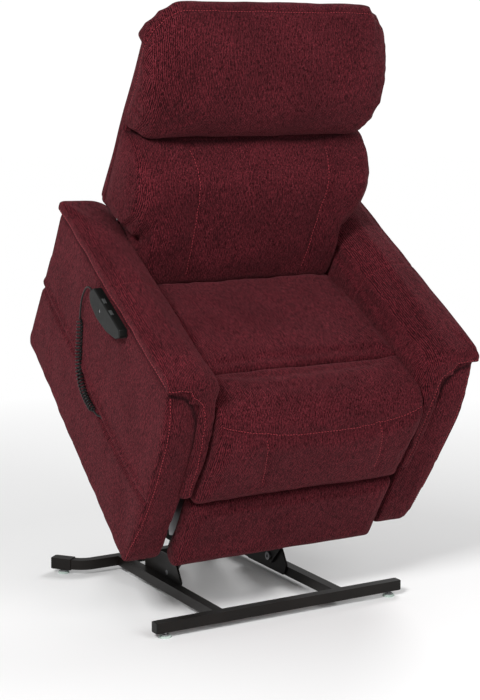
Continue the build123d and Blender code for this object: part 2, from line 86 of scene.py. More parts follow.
# ---- materials ----
class Graph:
    """A material's node tree, with short calls for the nodes used here."""

    def __init__(self, name):
        self.material = bpy.data.materials.new(name)
        self.material.use_nodes = True
        self.tree = self.material.node_tree
        self.tree.nodes.clear()
        self.shader = self.node("ShaderNodeBsdfPrincipled")
        out = self.node("ShaderNodeOutputMaterial")
        self.tree.links.new(self.shader.outputs[0], out.inputs[0])

    def node(self, kind, **values):
        n = self.tree.nodes.new(kind)
        for key, value in values.items():
            setattr(n, key, value)
        return n

    def put(self, socket, value):
        if isinstance(value, bpy.types.NodeSocket):
            self.tree.links.new(value, socket)
        else:
            socket.default_value = value

    def math(self, operation, a, b=0.0, clamp=False):
        n = self.node("ShaderNodeMath", operation=operation, use_clamp=clamp)
        self.put(n.inputs[0], a)
        self.put(n.inputs[1], b)
        return n.outputs[0]

    def scaled(self, vector, factors):
        n = self.node("ShaderNodeVectorMath", operation="MULTIPLY")
        self.put(n.inputs[0], vector)
        self.put(n.inputs[1], factors)
        return n.outputs[0]

    def noise(self, vector, scale, detail=2.0, roughness=0.5):
        n = self.node("ShaderNodeTexNoise")
        self.put(n.inputs["Vector"], vector)
        self.put(n.inputs["Scale"], scale)
        self.put(n.inputs["Detail"], detail)
        self.put(n.inputs["Roughness"], roughness)
        return n.outputs["Fac"]

    def ramp(self, factor, stops):
        n = self.node("ShaderNodeValToRGB")
        while len(n.color_ramp.elements) < len(stops):
            n.color_ramp.elements.new(0.5)
        for element, (place, colour) in zip(n.color_ramp.elements, stops):
            element.position = place
            element.color = (*colour, 1)
        self.put(n.inputs[0], factor)
        return n.outputs[0]

    def mix(self, factor, a, b, blend="MIX"):
        n = self.node("ShaderNodeMix", data_type="RGBA", blend_type=blend)
        self.put(n.inputs[0], factor)
        self.put(n.inputs[6], a)
        self.put(n.inputs[7], b)
        return n.outputs[2]

    def bump(self, height, strength, distance):
        n = self.node("ShaderNodeBump")
        n.inputs["Strength"].default_value = strength
        n.inputs["Distance"].default_value = distance
        self.put(n.inputs["Height"], height)
        self.put(self.shader.inputs["Normal"], n.outputs[0])

    def set(self, **values):
        for key, value in values.items():
            self.put(self.shader.inputs[key.replace("_", " ")], value)


def chenille():
    """Ribbed chenille: fine pile ribs, slubs along them, bright flecks, slow patches of lighter and darker pile,
    and painted shade: folds and gaps darkened to near-black where the fold-shade attribute is set."""
    g = Graph("upholstery_chenille")
    cloth = g.node("ShaderNodeAttribute", attribute_name="cloth").outputs["Vector"]
    wander = g.noise(g.scaled(cloth, (150, 40, 90)), 1.0, 2.0)
    split = g.node("ShaderNodeSeparateXYZ")
    g.put(split.inputs[0], cloth)
    drift = g.math("MULTIPLY", wander, 6.0)
    across = g.math("ADD", g.math("MULTIPLY", split.outputs[0], 2 * pi / RIB), drift)
    rib = g.math("MULTIPLY_ADD", g.math("SINE", across), 0.5)
    rib.node.inputs[2].default_value = 0.5
    slub = g.noise(g.scaled(cloth, (430, 90, 260)), 1.0, 3.0, 0.6)
    fleck = g.noise(g.scaled(cloth, (620, 220, 400)), 1.0, 2.0, 0.6)
    patch = g.noise(cloth, 9.0, 3.0, 0.55)
    tone = g.math("ADD", g.math("MULTIPLY", rib, 0.22), g.math("MULTIPLY", slub, 0.78))
    base = g.ramp(tone, [(0.40, PILE_DARK), (0.50, PILE_MID), (0.60, PILE_LIGHT)])
    bright = g.math("MULTIPLY", g.math("SUBTRACT", fleck, 0.57), 5.0, clamp=True)
    base = g.mix(bright, base, (*PILE_FLECK, 1))
    shade = g.ramp(patch, [(0.3, (0.80,) * 3), (0.7, (1.16,) * 3)])
    base = g.mix(1.0, base, shade, "MULTIPLY")
    # Painted shade: the fold-shade attribute mixes the colour towards near-black, standing in for shadow in folds
    # and gaps.
    painted_crease_shade = g.node("ShaderNodeAttribute", attribute_name="painted_crease_shade").outputs["Fac"]
    painted_fold_shade = g.math("MULTIPLY", painted_crease_shade, 0.9, clamp=True)
    g.set(Base_Color=g.mix(painted_fold_shade, base, (*CREASE_SHADE, 1)), Roughness=0.92)
    g.set(Sheen_Weight=0.12, Sheen_Roughness=0.5, Sheen_Tint=(*PILE_SHEEN, 1), Specular_IOR_Level=0.05)
    g.bump(tone, 0.9, 0.004)
    return g.material


def thread():
    """Twisted topstitching thread."""
    g = Graph("topstitch_thread")
    where = g.node("ShaderNodeTexCoord").outputs["Object"]
    twist = g.noise(where, 1800.0, 2.0)
    g.set(Base_Color=g.ramp(twist, [(0.3, (0.20, 0.015, 0.024)), (0.7, (0.38, 0.038, 0.052))]), Roughness=0.6)
    g.set(Specular_IOR_Level=0.3)
    g.bump(twist, 0.4, 0.0004)
    return g.material


def coated(name, dark, light, roughness, metallic=0.0, grain=320.0):
    """Paint, plastic, plated metal or bare wood: mottled colour, uneven gloss and a fine grain."""
    g = Graph(name)
    where = g.node("ShaderNodeTexCoord").outputs["Object"]
    mottle = g.noise(where, 14.0, 4.0, 0.6)
    fine = g.noise(where, grain, 3.0, 0.6)
    colour = g.ramp(mottle, [(0.3, dark), (0.7, light)])
    wear = g.noise(where, 60.0, 5.0, 0.7)
    low, high = roughness
    gloss = g.math("MULTIPLY_ADD", wear, high - low)
    gloss.node.inputs[2].default_value = low
    g.set(Base_Color=colour, Roughness=gloss, Metallic=metallic)
    g.set(Specular_IOR_Level=0.22)
    g.bump(fine, 0.25, 0.0004)
    return g.material


RIB = 0.0036  # metres from rib to rib
PILE_DARK, PILE_MID = (0.007, 0.0008, 0.0014), (0.036, 0.0036, 0.0058)
PILE_LIGHT, PILE_FLECK = (0.100, 0.0125, 0.0180), (0.19, 0.034, 0.046)
# CREASE_SHADE is the near-black painted shade laid into folds and gaps.
PILE_SHEEN, CREASE_SHADE = (0.8, 0.24, 0.28), (0.002, 0.0004, 0.0008)
CLOTH = chenille()
THREAD = thread()
PAINT = coated("frame_satin_paint", (0.003, 0.002, 0.0015), (0.007, 0.005, 0.004), (0.32, 0.48))
ZINC = coated("zinc_plated_steel", (0.20, 0.20, 0.21), (0.36, 0.36, 0.37), (0.25, 0.5),
              metallic=1.0, grain=900.0)
PLASTIC = coated("moulded_charcoal_plastic", (0.0025, 0.0028, 0.0026), (0.005, 0.0055, 0.005), (0.4, 0.58),
                 grain=1500.0)
KEYS = coated("key_plastic", (0.035, 0.038, 0.037), (0.05, 0.053, 0.052), (0.45, 0.6), grain=1500.0)
GLIDE = coated("glide_plastic", (0.34, 0.42, 0.38), (0.48, 0.56, 0.52), (0.35, 0.5), grain=700.0)
JACKET = coated("cord_jacket", (0.006, 0.007, 0.007), (0.012, 0.013, 0.013), (0.32, 0.45), grain=1200.0)
PLY = coated("raw_plywood", (0.30, 0.19, 0.10), (0.46, 0.31, 0.17), (0.6, 0.8), grain=120.0)

FINISHES = {"frame_paint": PAINT, "zinc_steel": ZINC, "dark_plastic": PLASTIC, "glide_plastic": GLIDE,
            "cord_jacket": JACKET, "board": PLY, "upholstery": CLOTH}
for part in frame["record"]["subparts"]:
    node = nodes[part["node"]]
    node.data.materials.clear()
    node.data.materials.append(FINISHES[part["material_slot"]])
for name in ("handset_raise_key", "handset_lower_key"):
    nodes[name].data.materials[0] = KEYS


# ---- upholstery tools ----
def coords(mesh):
    co = np.zeros(len(mesh.vertices) * 3)
    mesh.vertices.foreach_get("co", co)
    return co.reshape(-1, 3)


def normals(mesh):
    no = np.zeros(len(mesh.vertices) * 3)
    mesh.vertex_normals.foreach_get("vector", no)
    return no.reshape(-1, 3)


def set_coords(mesh, co):
    mesh.vertices.foreach_set("co", co.ravel())
    mesh.update()


def bake(obj):
    """Applies the modifiers."""
    graph = bpy.context.evaluated_depsgraph_get()
    mesh = bpy.data.meshes.new_from_object(obj.evaluated_get(graph))
    obj.modifiers.clear()
    old, obj.data = obj.data, mesh
    bpy.data.meshes.remove(old)


def new_object(name, mesh, material):
    obj = bpy.data.objects.new(name, mesh)
    scene.collection.objects.link(obj)
    mesh.materials.clear()
    mesh.materials.append(material)
    return obj


def solid(name, prisms, voxel, rounds):
    """One closed skin round several (outline, x0, x1) prisms in the chair frame, its edges rounded.
    An outline is a list of (u, w) points."""
    bm = bmesh.new()
    for outline, x0, x1 in prisms:
        ends = [[bm.verts.new(Vector((x, u, w)) * MM) for u, w in outline] for x in (x0, x1)]
        bm.faces.new(ends[0])
        bm.faces.new(ends[1][::-1])
        for i in range(len(outline)):
            bm.faces.new((ends[0][i - 1], ends[1][i - 1], ends[1][i], ends[0][i]))
    bmesh.ops.recalc_face_normals(bm, faces=bm.faces)
    mesh = bpy.data.meshes.new(name)
    bm.to_mesh(mesh)
    bm.free()
    obj = new_object(name, mesh, CLOTH)
    remesh = obj.modifiers.new("skin", "REMESH")
    remesh.mode, remesh.voxel_size = "VOXEL", voxel * MM
    smooth = obj.modifiers.new("round", "SMOOTH")
    smooth.factor, smooth.iterations = 0.5, rounds
    bake(obj)
    return obj


def warp(obj, change):
    """Moves the vertices: change takes and returns x, u and w in millimetres."""
    co = coords(obj.data) / MM
    x, u, w = change(co[:, 0], co[:, 1], co[:, 2])
    set_coords(obj.data, np.stack([x, u, w], 1) * MM)


def rise(value, start, end):
    """0 up to start, 1 from end on, and a straight slope between; end may be the lower of the two."""
    return np.clip((value - start) / (end - start), 0, 1)


LINE_STEP = 4.0


def curve_points(points):
    """A smooth line through points, in millimetres, at about even steps."""
    p = [np.array(q, float) for q in points]
    p = [2 * p[0] - p[1]] + p + [2 * p[-1] - p[-2]]
    out = []
    for a, b, c, d in zip(p, p[1:], p[2:], p[3:]):
        n = max(2, int(np.linalg.norm(c - b) / LINE_STEP))
        for t in np.arange(n) / n:
            out.append(0.5 * (2 * b + (c - a) * t + (2 * a - 5 * b + 4 * c - d) * t * t
                              + (3 * b - a - 3 * c + d) * t ** 3))
    return np.array(out + [p[-2]])


def laid(obj, *lines):
    """Smooth lines through points in millimetres, laid on obj's surface as lists of
    (place in metres, normal), all in the chair frame."""
    tree = BVHTree.FromObject(obj, bpy.context.evaluated_depsgraph_get())
    return [[tree.find_nearest(Vector(q) * MM)[:2] for q in curve_points(line)] for line in lines]


def distance(co, lines):
    """Distance of each vertex from the nearest of the laid lines, in metres."""
    best = np.full(len(co), 1e9)
    for line in lines:
        p = np.array([q[0] for q in line])
        for a, b in zip(p, p[1:]):
            d = b - a
            t = np.clip(((co - a) @ d) / max(d @ d, 1e-12), 0, 1)
            best = np.minimum(best, np.linalg.norm(co - a - t[:, None] * d, axis=1))
    return best


def puff(obj, cap, pressure=4.0, held=(), hold=14.0, frames=20):
    """Cloth under inner pressure; points near the held lines stay, and none moves over cap.
    The foam inside lets the cover swell but hardly sink."""
    before, normal = coords(obj.data), normals(obj.data)
    mod = obj.modifiers.new("cloth", "CLOTH")
    cloth = mod.settings
    cloth.quality = 4
    cloth.mass = 0.3
    cloth.tension_stiffness = cloth.compression_stiffness = 15
    cloth.shear_stiffness = 5
    cloth.bending_stiffness = 0.5
    cloth.use_pressure = True
    cloth.uniform_pressure_force = pressure
    cloth.effector_weights.gravity = 0
    if held:
        group = obj.vertex_groups.new(name="held")
        near = np.clip(1.5 - distance(before, held) / (hold * MM), 0, 1)
        for i in np.nonzero(near)[0]:
            group.add([int(i)], float(near[i]), "REPLACE")
        cloth.vertex_group_mass = "held"
    mod.point_cache.frame_start, mod.point_cache.frame_end = 1, frames
    for f in range(1, frames + 1):
        scene.frame_set(f)
    bake(obj)
    scene.frame_set(1)
    after = coords(obj.data)
    out = np.sum((after - before) * normal, axis=1)[:, None]
    slide = (after - before - out * normal) * 0.5
    move = normal * np.where(out > 0, out, 0.12 * out) + slide
    far = np.linalg.norm(move, axis=1)[:, None]
    set_coords(obj.data, before + move * np.minimum(1, cap * MM / np.maximum(far, 1e-9)))


def refine(obj):
    """Subdivides the skin once and shades it smooth."""
    mod = obj.modifiers.new("smooth", "SUBSURF")
    mod.levels = mod.render_levels = 1
    bake(obj)
    obj.data.polygons.foreach_set("use_smooth", [True] * len(obj.data.polygons))


def groove(obj, lines, depth, width, dark=0.0):
    """Pulls the cover in along sewn lines, and paints shade into the fold by the share dark."""
    co = coords(obj.data)
    far = distance(co, lines) / (width * MM)
    set_coords(obj.data, co - normals(obj.data) * (depth * MM * np.exp(-far ** 2))[:, None])
    # Painted shade: the share dark, fading away from the line, is kept per point for the cloth colour.
    if dark:
        attributes = obj.data.attributes
        painted_crease_shade = attributes.get("painted_crease_shade") or attributes.new("painted_crease_shade", "FLOAT", "POINT")
        old = np.zeros(len(co))
        painted_crease_shade.data.foreach_get("value", old)
        painted_crease_shade.data.foreach_set("value", np.maximum(old, dark * np.exp(-(far * 1.7) ** 2)))


def ripple(obj, depth, size, stretch=(1, 1, 1), seed=0.0, weight=None):
    """Soft unevenness of stuffed fabric, from seeded noise."""
    co, no = coords(obj.data), normals(obj.data)
    offset = Vector((seed, seed * 0.7, seed * 1.3))
    scale = Vector(stretch) / (size * MM)
    amount = np.array([noise.noise(Vector(c) * scale + offset) for c in co])
    if weight is not None:
        amount = amount * weight(co / MM)
    set_coords(obj.data, co + no * (amount * depth * MM)[:, None])


def cloth_coordinates(obj):
    """Lays the ribs: up the back, front and sides, and front to back on the seat and arm tops."""
    mesh = obj.data
    where = mesh.attributes.new("cloth", "FLOAT_VECTOR", "CORNER")
    co = coords(mesh)
    loops = np.zeros(len(mesh.loops), int)
    mesh.loops.foreach_get("vertex_index", loops)
    total = np.zeros(len(mesh.polygons), int)
    mesh.polygons.foreach_get("loop_total", total)
    no = np.zeros(len(mesh.polygons) * 3)
    mesh.polygons.foreach_get("normal", no)
    no = np.abs(np.repeat(no.reshape(-1, 3), total, axis=0))
    p = co[loops]
    side, top = no[:, 0] > 0.72, no[:, 2] > no[:, 1]
    across = np.where(side, p[:, 1], p[:, 0])
    along = np.where(~side & top, p[:, 1], p[:, 2])
    depth = np.where(side, p[:, 0], np.where(top, p[:, 2], p[:, 1]))
    where.data.foreach_set("vector", np.stack([across, along, depth], 1).ravel().astype(np.float32))


# A stitch's rings: share of its length, radius and rise, the last two as shares of the thread's radius.
STITCH_RINGS = ((0, 0.3, -0.5), (0.2, 0.95, 0.25), (0.5, 1.0, 0.45), (0.8, 0.95, 0.25), (1, 0.3, -0.5))
STITCH_SIDES = 6


def stitches(name, lines, pitch=7.5, length=4.8, radius=0.62, lift=0.25):
    """Topstitching along laid lines: short thread dashes, as one mesh. Sizes are in millimetres."""
    bm = bmesh.new()
    for line in lines:
        p = [q[0] for q in line]
        run = [0.0]
        for a, b in zip(p, p[1:]):
            run.append(run[-1] + (b - a).length)
        s = pitch * MM / 2
        while s + length * MM < run[-1]:
            ends = []
            for target in (s, s + length * MM):
                i = max(k for k in range(len(run)) if run[k] <= target)
                i = min(i, len(p) - 2)
                t = (target - run[i]) / max(run[i + 1] - run[i], 1e-9)
                normal = line[i][1].lerp(line[i + 1][1], t).normalized()
                ends.append((p[i].lerp(p[i + 1], t), normal))
            a, b = ends
            along = (b[0] - a[0]).normalized()
            up = (a[1] + b[1]).normalized()
            side = along.cross(up).normalized()
            rings = []
            for t, r, bulge in STITCH_RINGS:
                centre = a[0].lerp(b[0], t) + up * (lift + bulge * radius) * MM
                turns = [k * 2 * pi / STITCH_SIDES for k in range(STITCH_SIDES)]
                rings.append([bm.verts.new(centre + (side * cos(turn) + up * sin(turn)) * r * radius * MM)
                              for turn in turns])
            for r0, r1 in zip(rings, rings[1:]):
                for k in range(STITCH_SIDES):
                    bm.faces.new((r0[k - 1], r0[k], r1[k], r1[k - 1]))
            bm.faces.new(rings[0])
            bm.faces.new(rings[-1][::-1])
            s += pitch * MM
    bmesh.ops.recalc_face_normals(bm, faces=bm.faces)
    mesh = bpy.data.meshes.new(name)
    bm.to_mesh(mesh)
    bm.free()
    thread_piece = new_object(name, mesh, THREAD)
    mesh.polygons.foreach_set("use_smooth", [True] * len(mesh.polygons))
    return thread_piece


def mirror(*pieces):
    """Turns left-hand pieces into right-hand ones."""
    for piece in pieces:
        piece.data.transform(Matrix.Scale(-1, 4, (1, 0, 0)))
        piece.data.flip_normals()


def place(obj, body, covers=(), fill=None):
    """Raises a finished piece into the row frame, fastens it to its body where it has one, and
    names the CAD nodes that it covers. A piece given a fill gets its ribs here; the fill's value
    itself is not used."""
    if fill is not None:
        cloth_coordinates(obj)
    obj.data.transform(RAISED)
    if body:
        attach(obj, body)
    if covers:
        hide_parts(*covers)


SIDES = (("left", 1), ("right", -1))
SEAT_HALF = 262  # half the room between the arm caps, at their top
ARM_IN, ARM_OUT, CAP_OUT = 285, 389, 396
ARM_TOP, ARM_FOOT = 499, -10
ARM_HEIGHT = ARM_TOP - ARM_FOOT


# ---- arms ----
SIDE_SEAM = [(61, 212), (179, 216), (300, 236), (425, 264), (560, 273), (660, 280)]
SIDE_FACE = ARM_OUT + 2


def side_fold(arm):
    """Swells the upper side cover along the seam, where it laps over the lower one, and tucks it in."""
    c = coords(arm.data) / MM
    seam_u, seam_w = [-20] + [u for u, w in SIDE_SEAM], [214] + [w for u, w in SIDE_SEAM]
    above = c[:, 2] - np.interp(c[:, 1], seam_u, seam_w)
    face = rise(c[:, 0], 360, 380) * np.maximum(rise(c[:, 1], -15, 45), 0.15)
    lap = 4.5 * np.exp(-((above - 9) / 11) ** 2) - 4.5 * np.exp(-((above + 5) / 8) ** 2)
    set_coords(arm.data, coords(arm.data) + normals(arm.data) * (lap * face * MM)[:, None])
    tuck = [(SIDE_FACE - 1, u, w - 3) for u, w in SIDE_SEAM[::-1]] + [(SIDE_FACE - 7, -8, 211)]
    # The tuck under the lap is pulled in and given full painted shade along the seam.
    groove(arm, laid(arm, tuck), 5.0, 6, 1.0)


def arm_panel(side, sign):
    """The arm's upholstered side, front and rear. It is drawn as the left one."""
    front = [(4, 4), (-6, 36), (-11, 90), (-16, 150), (-19, 215), (-19, 290), (-18, 350), (-12, 410),
             (2, 455), (16, 505)]
    outline = [(658, 90), (666, 106), (659, 250), (650, 380), (648, 505)] + front[::-1]
    arm = solid(f"arm_panel_{side}", [(outline, ARM_IN, ARM_OUT)], 7, 6)

    def taper(x, u, w):
        x = np.where(x > 340, x - 12 * (ARM_TOP - w) / ARM_HEIGHT, x + 4 * (ARM_TOP - w) / ARM_HEIGHT)
        belly = 3.0 * np.sin(rise(u, 0, 650) * pi) * np.sin(rise(w, 60, 500) * pi)
        dished = 11 * rise(x, 350, 300) * rise(u, 80, 20) * rise(w, 20, 140)
        return x + belly * rise(x, 330, 380), u + dished, w

    warp(arm, taper)
    refine(arm)
    corner = [(382, 16, 488), (378, 1, 445), (375, -9, 390), (372, -14, 312), (370, -14, 250),
              (370, -12, 193), (371, -7, 120), (372, -1, 59), (372, 6, 12)]
    corner_line = laid(arm, corner)
    side_fold(arm)
    # The corner groove gets a little painted shade.
    groove(arm, corner_line, 1.6, 5, 0.25)
    # Under the cap's overhang and beside its band the panel is pulled in and given full painted shade, for the
    # shadow the cap casts there.
    under_cap = [(391, 655, 497), (391, 480, 497), (391, 300, 497), (390, 120, 497), (389, 18, 495)]
    beside_band = [(388, 14, 490), (365, 9, 488), (345, 5, 482), (330, 0, 468), (316, -6, 448),
                   (306, -12, 410), (300, -16, 350), (293, -18, 290), (287, -18, 222)]
    groove(arm, laid(arm, under_cap, beside_band), 1.5, 9, 1.0)
    ripple(arm, 2.6, 95, (1, 1.5, 0.8), 3.1 + sign, lambda c: rise(c[:, 0], 340, 370))
    ripple(arm, 1.6, 34, (1, 1.0, 0.45), 8.4 + sign,
           lambda c: rise(c[:, 0], 340, 370) * np.exp(-((c[:, 2] - 190) / 60) ** 2))
    trim = stitches(f"arm_stitching_{side}", laid(arm, corner))
    if sign < 0:
        mirror(arm, trim)
    place(arm, "chair", [f"arm_{side}"], 0.85)
    place(trim, "chair")


def arm_cap(side, sign):
    """The padded cap: over the arm's top, its front lip, and down the arm's inner face. It is drawn
    as the left one."""
    top = [(6, 501), (4, 514), (12, 525), (34, 529), (645, 529), (652, 522), (652, 500), (34, 500), (34, 499)]
    inner = [(10, 505), (3, 470), (-9, 425), (-18, 360), (-22, 300), (-23, 250), (-21, 216), (-15, 208),
             (30, 205), (600, 240), (600, 505)]
    lip = [(8, 510), (4, 486), (6, 468), (16, 462), (26, 470), (28, 510)]
    prisms = [(top, SEAT_HALF, CAP_OUT), (inner, SEAT_HALF, 306), (lip, SEAT_HALF, 336)]
    cap = solid(f"arm_cap_{side}_padded", prisms, 6, 7)

    def lean(x, u, w):
        low = rise(w, ARM_TOP, ARM_FOOT)
        thin = 1 - 0.5 * rise(w, 440, 210)
        inside = SEAT_HALF + (x - SEAT_HALF) * np.where(x < 312, thin, 1)
        roll = rise(x, 330, SEAT_HALF) ** 2 * rise(w, 440, 530)
        nose = rise(u, 60, -10) ** 2 * rise(w, 470, 530)
        turn = rise(x, 306, SEAT_HALF) ** 2 * rise(u, 70, 0) * rise(w, 380, 460)
        return inside + 21 * low, u + 6 * nose + 16 * turn, w - 30 * roll - 7 * nose

    warp(cap, lean)
    edge = [(CAP_OUT, 648, 503), (CAP_OUT, 300, 503), (CAP_OUT, 20, 503)]
    lip_line = [(CAP_OUT, 12, 503), (384, 6, 501), (364, 6, 499), (345, 5, 490), (332, 4, 474), (314, 4, 460),
                (308, -8, 430), (304, -14, 400), (298, -19, 350), (292, -22, 290), (286, -22, 220)]
    puff(cap, 9, 4.0, laid(cap, edge, lip_line), 10, 14)
    refine(cap)
    across = [(395, 330, 516), (380, 330, 529), (330, 330, 536), (280, 330, 530), (262, 330, 505),
              (264, 330, 440), (270, 330, 330), (274, 330, 240)]
    groove(cap, laid(cap, across), 1.1, 4)
    side_line = [(398, u, 508) for u in (640, 480, 330, 160, 20)]
    front_line = [(397, 14, 508), (388, 2, 510), (368, 0, 509), (346, -1, 502), (328, -2, 488),
                  (312, -3, 474), (300, -8, 452), (293, -14, 420), (289, -22, 370), (286, -27, 310),
                  (284, -28, 260), (283, -27, 222)]
    # Both stitched edge grooves get a little painted shade.
    groove(cap, laid(cap, side_line, front_line), 1.3, 4, 0.25)
    ripple(cap, 2.2, 80, (1, 1, 1), 5.5 + sign)
    ripple(cap, 1.2, 26, (1.4, 0.7, 1), 1.5 + sign, lambda c: np.exp(-((c[:, 2] - 508) / 14) ** 2))
    trim = stitches(f"cap_stitching_{side}", laid(cap, side_line, front_line))
    seam = stitches(f"cap_seam_{side}", laid(cap, across), 6.0, 3.4, 0.4, -0.2)
    if sign < 0:
        mirror(cap, trim, seam)
    place(cap, "chair", [f"arm_cap_{side}"], 0.7)
    place(trim, "chair")
    place(seam, "chair")


# ---- seat ----
def seat():
    """The seat cushion."""
    outline = [(117, 326), (476, 316), (476, 404), (448, 422), (380, 434), (300, 444), (190, 449), (117, 449)]
    cushion = solid("seat_pad", [(outline, -SEAT_HALF, SEAT_HALF)], 8, 6)
    puff(cushion, 9, 4.0, frames=14)
    refine(cushion)
    ripple(cushion, 3.0, 120, (1, 1, 1), 2.2)
    ripple(cushion, 1.4, 40, (1, 0.6, 1), 7.2)
    place(cushion, "chair", ["seat_cushion"], 0.75)


def waterfall():
    """Front of the seat and the calf pad as one cover, which bends as the legrest swings out."""
    outline = [(121, 447), (121, 330), (62, 330), (58, 200), (40, 186), (-12, 185), (-24, 194), (-32, 240),
               (-38, 300), (-39, 350), (-36, 392), (-22, 422), (8, 441), (60, 447)]
    pad = solid("waterfall_pad", [(outline, -SEAT_HALF, SEAT_HALF)], 8, 6)
    arc = [(-264, -24, 424), (-235, -32, 416), (-180, -36, 403), (-90, -40, 388), (0, -42, 382),
           (90, -42, 384), (180, -40, 395), (235, -32, 409), (264, -24, 420)]
    left = [(-146, -44, 390), (-138, -46, 345), (-126, -44, 290), (-118, -40, 250)]
    right = [(146, -44, 390), (158, -46, 350), (170, -44, 300), (174, -40, 255)]
    puff(pad, 9, 4.0, laid(pad, arc), 9, 14)
    refine(pad)
    # The arc and side grooves get a little painted shade.
    groove(pad, laid(pad, arc), 2.5, 8, 0.2)
    groove(pad, laid(pad, left, right), 2.6, 11, 0.12)
    ripple(pad, 3.0, 110, (1, 1, 1), 4.2)
    ripple(pad, 1.4, 38, (1, 1, 0.6), 9.2)

    def clear_rod(x, u, w):
        """Widens the front towards its foot, and trims the rear for the legrest's push rod."""
        wider = x * (1 + 0.016 * rise(w, 400, 200) * (u < 70))
        return wider, np.where(w < 335, np.minimum(u, 34 + 0.1 * (w - 200)), u), w

    warp(pad, clear_rod)
    trim = stitches("waterfall_stitching", laid(pad, arc, left, right))
    for piece in (pad, trim):
        place(piece, None, fill=0.75 if piece is pad else None)
        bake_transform(piece, "chair", "legrest", start=at(0, 40, 425), end=at(0, 20, 330))
    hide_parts("seat_front_roll", "leg_pad")


def board():
    """The padded footrest board, at the foot of the calf pad."""
    outline = [(-27, 8), (-21, -5), (-8, -9), (16, -7), (26, 4), (26, 180), (-20, 185), (-27, 174)]
    footrest = solid("footrest_panel", [(outline, -SEAT_HALF, SEAT_HALF)], 7, 5)
    puff(footrest, 6, 3.0, frames=10)
    refine(footrest)
    ripple(footrest, 2.5, 90, (1, 1, 1), 6.2)
    place(footrest, "legrest", ["footrest_board"], 0.7)


# ---- back ----
def lumbar():
    """The lumbar cushion, with a gusset at each side."""
    low = [(442, 432), (452, 412), (480, 388), (622, 388), (622, 744), (568, 744), (532, 726), (478, 628),
           (446, 520)]
    front = [(472, 640), (476, 590), (490, 530), (636, 522), (636, 744), (562, 744), (522, 724), (482, 684)]
    wide = [(490, 645), (496, 596), (520, 548), (638, 530), (638, 744), (568, 744), (532, 724), (502, 690)]
    cushion = solid("lumbar_pad", [(low, -252, 252), (front, -286, 286), (wide, -306, 306)], 8, 10)
    left = [(-171, 540, 735), (-160, 505, 690), (-151, 468, 620), (-146, 445, 520), (-142, 436, 450)]
    right = [(186, 540, 735), (184, 505, 690), (176, 468, 620), (169, 445, 520), (164, 436, 450)]
    gusset = [(306, 618, 740), (306, 616, 690), (305, 614, 640), (303, 612, 590), (294, 612, 552)]
    gussets = [gusset, [(-x, u, w) for x, u, w in gusset]]
    warp(cushion, lambda x, u, w: (x, u - 12 * rise(w, 540, 600) * rise(u, 575, 535), w))
    puff(cushion, 13, 4.0, laid(cushion, left, right, *gussets), 8, 16)
    refine(cushion)
    # The side grooves get a little painted shade, the gussets more.
    groove(cushion, laid(cushion, left, right), 2.4, 10, 0.12)
    groove(cushion, laid(cushion, *gussets), 2.4, 5, 0.6)
    # The top edge, where the head pillow meets it, is barely pulled in but gets strong painted shade for the gap
    # between the two.
    top = [(-298, 600, 744), (-200, 560, 742), (0, 556, 741), (200, 560, 742), (298, 600, 744)]
    groove(cushion, laid(cushion, top), 0.5, 12, 0.8)
    ripple(cushion, 3.5, 120, (1, 1, 1), 1.2)
    ripple(cushion, 1.6, 42, (1, 1, 0.5), 6.6)
    trim = stitches("lumbar_stitching", laid(cushion, left, right))
    place(cushion, "back", ["lumbar_cushion"], 0.8)
    place(trim, "back")


def head():
    """The head pillow, thinner towards its sides, with a seam round its edge."""
    top = [(600, 746), (600, 990), (652, 990), (650, 1046), (634, 1058), (606, 1050), (582, 1020), (560, 968),
           (544, 920), (536, 870), (536, 824), (548, 776), (568, 746)]
    core = [(600, 746), (600, 990), (652, 990), (650, 1032), (634, 1042), (610, 1034), (586, 1004),
            (562, 955), (547, 915), (540, 868), (540, 824), (552, 778), (570, 746)]
    wide = [(608, 750), (608, 985), (650, 985), (648, 1010), (632, 1022), (610, 1012), (588, 982), (566, 940),
            (554, 895), (551, 850), (560, 796), (582, 754)]
    edge = [(612, 758), (612, 970), (650, 970), (646, 990), (630, 998), (610, 986), (588, 950), (574, 905),
            (570, 855), (580, 800), (600, 762)]
    prisms = [(top, -248, 248), (core, -276, 276), (wide, -298, 298), (edge, -309, 309)]
    pillow = solid("head_pad", prisms, 8, 8)
    half = [(-306, 618, 760), (-309, 604, 795), (-310, 597, 850), (-310, 597, 905), (-306, 604, 955),
            (-296, 610, 998), (-268, 612, 1030), (-220, 610, 1044), (-120, 606, 1050), (0, 605, 1051)]
    seam = half + [(-x, u, w) for x, u, w in half[-2::-1]]

    def crown(x, u, w):
        shoulder = rise(np.abs(x), 215, 310) ** 2 * rise(w, 900, 1040)
        return x * 1.02, u - 12 * rise(u, 580, 550), w - 26 * shoulder

    warp(pillow, crown)
    puff(pillow, 13, 4.0, laid(pillow, seam), 9, 16)
    refine(pillow)
    # The seam groove gets some painted shade.
    groove(pillow, laid(pillow, seam), 2.6, 6, 0.35)
    # The lower edge, above the lumbar cushion, is barely pulled in but gets strong painted shade for the gap
    # between the two.
    under = [(-298, 600, 752), (-200, 572, 752), (0, 568, 752), (200, 572, 752), (298, 600, 752)]
    groove(pillow, laid(pillow, under), 0.5, 12, 0.8)
    ripple(pillow, 3.5, 110, (1, 1, 1), 2.8)
    ripple(pillow, 1.5, 40, (1, 1, 0.6), 3.6)
    ripple(pillow, 3.4, 24, (0.45, 0.6, 1.3), 5.1,
           lambda c: np.exp(-((np.abs(c[:, 0]) - 284) / 30) ** 2) * (c[:, 1] < 605))
    trim = stitches("head_stitching", laid(pillow, seam), 7.0, 4.6, 0.55)
    place(pillow, "back", ["head_pillow"], 0.85)
    place(trim, "back")


